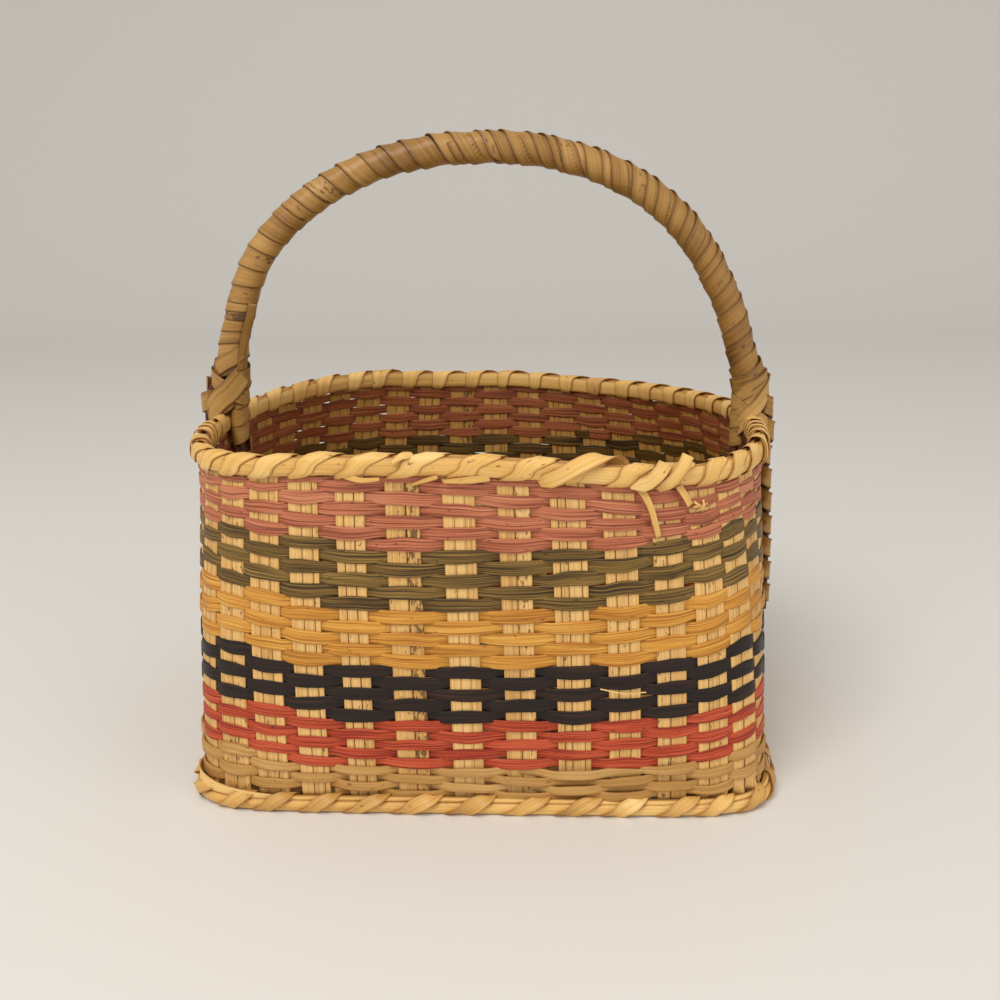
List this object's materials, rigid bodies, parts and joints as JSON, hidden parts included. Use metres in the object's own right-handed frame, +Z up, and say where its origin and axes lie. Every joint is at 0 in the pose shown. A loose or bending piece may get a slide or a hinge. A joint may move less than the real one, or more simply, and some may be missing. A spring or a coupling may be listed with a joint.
{
  "type": "woven basket",
  "caption": "Rectangular splint basket with striped woven walls, a lashed rim, an open woven base and a fixed wrapped bow handle.",
  "frame": {"origin": "on the ground under the middle of the basket's bounding box", "axes": "+X to the right along the handle, -Y the front, +Z up"},
  "size_m": [0.3056, 0.2406, 0.3127],
  "materials": {
    "stake_splint": "matte, split cane",
    "natural_splint": "matte, split cane",
    "red_splint": "matte, split cane",
    "dark_splint": "matte, split cane",
    "ochre_splint": "matte, split cane",
    "olive_splint": "matte, split cane",
    "rose_splint": "matte, split cane",
    "rim_cane": "matte, split cane",
    "bow_cane": "matte, split cane",
    "handle_cane": "matte, split cane"
  },
  "bodies": {
    "root": {"front_back_stake_01": "stake_splint", "front_back_stake_02": "stake_splint", "front_back_stake_03": "stake_splint", "front_back_stake_04": "stake_splint", "front_back_stake_05": "stake_splint", "front_back_stake_06": "stake_splint", "front_back_stake_07": "stake_splint", "front_back_stake_08": "stake_splint", "front_back_stake_09": "stake_splint", "front_back_stake_10": "stake_splint", "front_back_stake_11": "stake_splint", "front_back_stake_12": "stake_splint", "left_right_stake_01": "stake_splint", "left_right_stake_02": "stake_splint", "left_right_stake_03": "stake_splint", "left_right_stake_04": "stake_splint", "left_right_stake_05": "stake_splint", "left_right_stake_06": "stake_splint", "left_right_stake_07": "stake_splint", "left_right_stake_08": "stake_splint", "left_right_stake_09": "stake_splint", "natural_weaver_one": "natural_splint", "natural_weaver_two": "natural_splint", "red_weaver_one": "red_splint", "red_weaver_two": "red_splint", "dark_weaver_one": "dark_splint", "dark_weaver_two": "dark_splint", "ochre_weaver_one": "ochre_splint", "ochre_weaver_two": "ochre_splint", "olive_weaver_one": "olive_splint", "olive_weaver_two": "olive_splint", "rose_weaver_one": "rose_splint", "rose_weaver_two": "rose_splint", "outer_rim_hoop": "rim_cane", "inner_rim_hoop": "rim_cane", "foot_rod": "rim_cane", "rim_lashing": "rim_cane", "foot_lashing": "rim_cane", "outer_handle_bow": "bow_cane", "inner_handle_bow": "bow_cane", "handle_wrap": "handle_cane", "right_leg_wrap": "handle_cane", "left_foot_tie": "rim_cane", "right_foot_tie": "rim_cane"}
  },
  "joints": []
}
